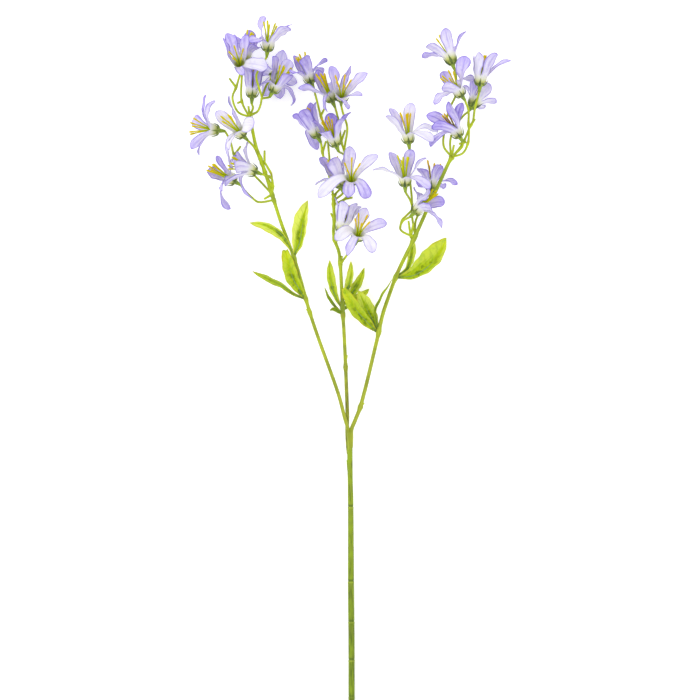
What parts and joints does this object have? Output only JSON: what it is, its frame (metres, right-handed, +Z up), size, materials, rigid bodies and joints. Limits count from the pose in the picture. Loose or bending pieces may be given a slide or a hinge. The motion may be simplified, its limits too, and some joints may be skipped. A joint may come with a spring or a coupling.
{
  "type": "tweedia stem",
  "caption": "Artificial tweedia spray: one cut stem that forks into leafy branches of open lavender star blooms, lying flat.",
  "frame": {"origin": "centre of the bounding box in X and Y, on the table under the lying spray", "axes": "+Y from the cut end of the stem toward the blooms, +Z up from the table, +X to the right seen from above"},
  "size_m": [0.3224, 0.6908, 0.085],
  "materials": {
    "stem_green": "satin moulded green plastic and printed green leaves",
    "petal_lavender": "soft printed cloth, white at the throat to lavender tips",
    "stamen_yellow": "matte yellow plastic, orange at the tips"
  },
  "bodies": {
    "root": {"main_stem": "stem_green", "branch_left": "stem_green", "branch_middle": "stem_green", "branch_right": "stem_green", "petals_left_1": "petal_lavender", "stamens_left_1": "stamen_yellow", "petals_left_2": "petal_lavender", "stamens_left_2": "stamen_yellow", "petals_left_3": "petal_lavender", "stamens_left_3": "stamen_yellow", "petals_left_4": "petal_lavender", "stamens_left_4": "stamen_yellow", "petals_left_5": "petal_lavender", "stamens_left_5": "stamen_yellow", "petals_left_6": "petal_lavender", "stamens_left_6": "stamen_yellow", "petals_left_7": "petal_lavender", "stamens_left_7": "stamen_yellow", "petals_left_8": "petal_lavender", "stamens_left_8": "stamen_yellow", "petals_left_9": "petal_lavender", "stamens_left_9": "stamen_yellow", "petals_left_10": "petal_lavender", "stamens_left_10": "stamen_yellow", "petals_middle_1": "petal_lavender", "stamens_middle_1": "stamen_yellow", "petals_middle_2": "petal_lavender", "stamens_middle_2": "stamen_yellow", "petals_middle_3": "petal_lavender", "stamens_middle_3": "stamen_yellow", "petals_middle_4": "petal_lavender", "stamens_middle_4": "stamen_yellow", "petals_middle_5": "petal_lavender", "stamens_middle_5": "stamen_yellow", "petals_middle_6": "petal_lavender", "stamens_middle_6": "stamen_yellow", "petals_middle_7": "petal_lavender", "stamens_middle_7": "stamen_yellow", "petals_middle_8": "petal_lavender", "stamens_middle_8": "stamen_yellow", "petals_middle_9": "petal_lavender", "stamens_middle_9": "stamen_yellow", "petals_right_1": "petal_lavender", "stamens_right_1": "stamen_yellow", "petals_right_2": "petal_lavender", "stamens_right_2": "stamen_yellow", "petals_right_3": "petal_lavender", "stamens_right_3": "stamen_yellow", "petals_right_4": "petal_lavender", "stamens_right_4": "stamen_yellow", "petals_right_5": "petal_lavender", "stamens_right_5": "stamen_yellow", "petals_right_6": "petal_lavender", "stamens_right_6": "stamen_yellow", "petals_right_7": "petal_lavender", "stamens_right_7": "stamen_yellow", "petals_right_8": "petal_lavender", "stamens_right_8": "stamen_yellow", "petals_right_9": "petal_lavender", "stamens_right_9": "stamen_yellow"}
  },
  "joints": []
}
